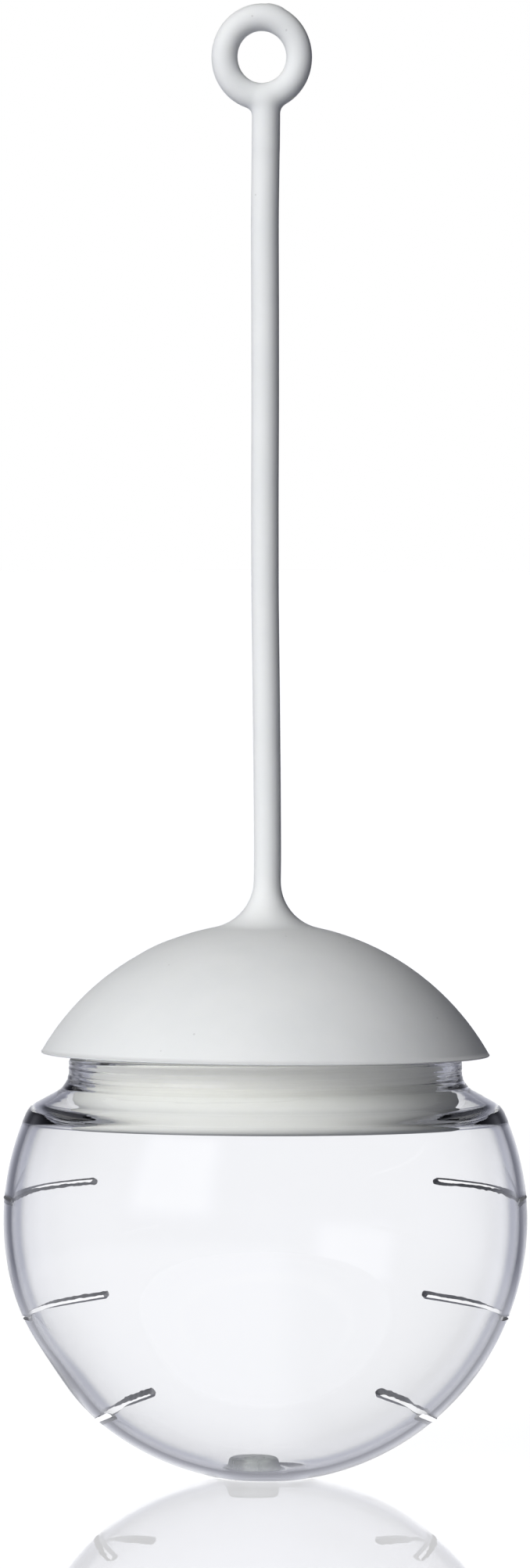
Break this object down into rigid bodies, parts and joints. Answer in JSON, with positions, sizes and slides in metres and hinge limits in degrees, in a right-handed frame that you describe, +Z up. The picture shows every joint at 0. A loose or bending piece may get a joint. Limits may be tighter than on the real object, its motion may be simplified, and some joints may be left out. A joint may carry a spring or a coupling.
{
  "type": "glass tea infuser",
  "caption": "Clear blown glass globe with fine water slits down both sides, closed by a soft white stopper lid that runs up into a flexible stem with a hanging ring.",
  "frame": {"origin": "centre of the small flat foot under the globe, on the plane it stands on", "axes": "+Z up along the globe's axis through the lid to the ring; -Y is the front; the ring's hole runs along Y and the slits lie on the -X and +X sides"},
  "size_m": [0.06, 0.06, 0.1687],
  "materials": {
    "glass": "clear blown glass with fire-polished surfaces and frosted saw cuts",
    "silicone": "matt white silicone"
  },
  "bodies": {
    "globe": {"glass_globe": "glass"},
    "lid": {"silicone_lid": "silicone"},
    "handle": {"loop_handle": "silicone"}
  },
  "joints": [
    {"name": "lid_pull", "type": "slide", "parent": "globe", "child": "lid", "axis": [0, 0, 1], "range_m": [0, 0.025]},
    {"name": "stem_flex", "type": "hinge", "parent": "lid", "child": "handle", "pos_m": [0, 0, 0.08], "axis": [0, 1, 0], "range_deg": [-75, 75], "stiffness_Nm_per_rad": 0.0012}
  ]
}
